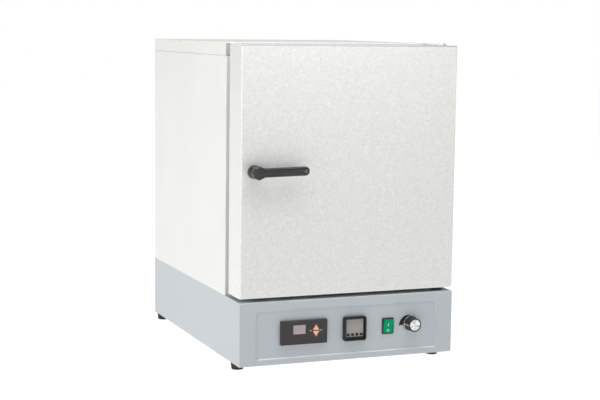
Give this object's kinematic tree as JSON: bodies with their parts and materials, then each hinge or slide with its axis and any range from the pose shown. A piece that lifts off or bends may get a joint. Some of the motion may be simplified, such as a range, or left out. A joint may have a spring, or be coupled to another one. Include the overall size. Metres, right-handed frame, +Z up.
{
  "type": "drying oven",
  "caption": "Bench-top insulated oven: side-hung door with lever latch, wire shelves on rails, heater under a floor plate, instrument base with keys, rocker switch and limiter knob.",
  "frame": {"origin": "on the floor under the middle of the whole object's box", "axes": "+X to the right seen from the front, +Y from the door to the back, +Z up"},
  "size_m": [0.45, 0.661, 0.6318],
  "materials": {
    "white_paint": "satin white powder coat",
    "door_paint": "pale hammered powder coat",
    "grey_paint": "satin blue-grey paint",
    "stainless": "brushed stainless steel",
    "wire": "bright plated wire",
    "heater": "heat-darkened steel",
    "wool": "mineral wool",
    "silicone": "red-brown silicone",
    "zinc": "zinc plated steel",
    "hinge_steel": "painted steel plate",
    "dark_steel": "black painted steel plate",
    "bush": "turned brass",
    "rubber": "black rubber",
    "black_plastic": "fine-grained black plastic",
    "gloss_black": "glossy black plastic",
    "display": "tinted display pane",
    "orange_key": "peach coloured key",
    "green": "translucent green plastic",
    "aluminium": "spun aluminium disc"
  },
  "bodies": {
    "cabinet": {"side_panel_left": "white_paint", "side_panel_right": "white_paint", "back_panel": "white_paint", "top_cover": "white_paint", "control_panel": "grey_paint", "base_deck": "grey_paint", "base_tray": "grey_paint", "front_frame": "stainless", "chamber": "stainless", "floor_plate": "stainless", "shelf_rail_left": "stainless", "shelf_rail_right": "stainless", "vent_pipe": "stainless", "vent_collar": "stainless", "temperature_probe": "stainless", "heater_element": "heater", "insulation": "wool", "foot_screws": "zinc", "cover_screws": "zinc", "bracket_screws": "zinc", "hinge_pins": "zinc", "limiter_nut": "zinc", "latch_keeper": "zinc", "upper_hinge_bracket": "hinge_steel", "lower_hinge_bracket": "dark_steel", "feet": "rubber", "timer_bezel": "black_plastic", "timer_case": "black_plastic", "controller_case": "black_plastic", "switch_body": "black_plastic", "power_inlet": "black_plastic", "fuse_holder": "black_plastic", "solid_state_relay": "black_plastic", "terminal_block": "black_plastic", "limiter_thermostat": "black_plastic", "controller_bezel": "gloss_black", "timer_window": "display", "controller_screen": "display"},
    "door": {"door_skin": "door_paint", "door_liner": "stainless", "door_insulation": "wool", "door_gasket": "silicone", "hinge_bushes": "bush", "handle_rose": "black_plastic"},
    "handle": {"handle_lever": "black_plastic", "handle_spindle": "zinc", "handle_screw": "zinc", "latch_cam": "zinc"},
    "rocker": {"switch_rocker": "green"},
    "knob": {"knob_body": "black_plastic", "knob_cap": "aluminium", "limiter_shaft": "zinc"},
    "up_key": {"timer_up_key": "orange_key"},
    "down_key": {"timer_down_key": "orange_key"},
    "key_1": {"controller_key_1": "gloss_black"},
    "key_2": {"controller_key_2": "gloss_black"},
    "key_3": {"controller_key_3": "gloss_black"},
    "key_4": {"controller_key_4": "gloss_black"},
    "lower_shelf_body": {"lower_shelf": "wire"},
    "upper_shelf_body": {"upper_shelf": "wire"}
  },
  "joints": [
    {"name": "door_hinge", "type": "hinge", "parent": "cabinet", "child": "door", "pos_m": [0.2024, -0.27, 0.381], "axis": [0, 0, 1], "range_deg": [0, 180]},
    {"name": "handle_turn", "type": "hinge", "parent": "door", "child": "handle", "pos_m": [-0.1986, -0.2975, 0.389], "axis": [0, 1, 0], "range_deg": [0, 90]},
    {"name": "rocker_tilt", "type": "hinge", "parent": "cabinet", "child": "rocker", "pos_m": [0.085, -0.2945, 0.076], "axis": [-1, 0, 0], "range_deg": [0, 20]},
    {"name": "knob_turn", "type": "hinge", "parent": "cabinet", "child": "knob", "pos_m": [0.135, -0.2956, 0.078], "axis": [0, 1, 0], "range_deg": [0, 270]},
    {"name": "up_key_press", "type": "slide", "parent": "cabinet", "child": "up_key", "axis": [0, 1, 0], "range_m": [0, 0.0008], "stiffness_N_per_m": 300},
    {"name": "down_key_press", "type": "slide", "parent": "cabinet", "child": "down_key", "axis": [0, 1, 0], "range_m": [0, 0.0008], "stiffness_N_per_m": 300},
    {"name": "key_1_press", "type": "slide", "parent": "cabinet", "child": "key_1", "axis": [0, 1, 0], "range_m": [0, 0.0008], "stiffness_N_per_m": 300},
    {"name": "key_2_press", "type": "slide", "parent": "cabinet", "child": "key_2", "axis": [0, 1, 0], "range_m": [0, 0.0008], "stiffness_N_per_m": 300},
    {"name": "key_3_press", "type": "slide", "parent": "cabinet", "child": "key_3", "axis": [0, 1, 0], "range_m": [0, 0.0008], "stiffness_N_per_m": 300},
    {"name": "key_4_press", "type": "slide", "parent": "cabinet", "child": "key_4", "axis": [0, 1, 0], "range_m": [0, 0.0008], "stiffness_N_per_m": 300},
    {"name": "lower_shelf_slide", "type": "slide", "parent": "cabinet", "child": "lower_shelf_body", "axis": [0, -1, 0], "range_m": [0, 0.01]},
    {"name": "upper_shelf_slide", "type": "slide", "parent": "cabinet", "child": "upper_shelf_body", "axis": [0, -1, 0], "range_m": [0, 0.01]}
  ]
}
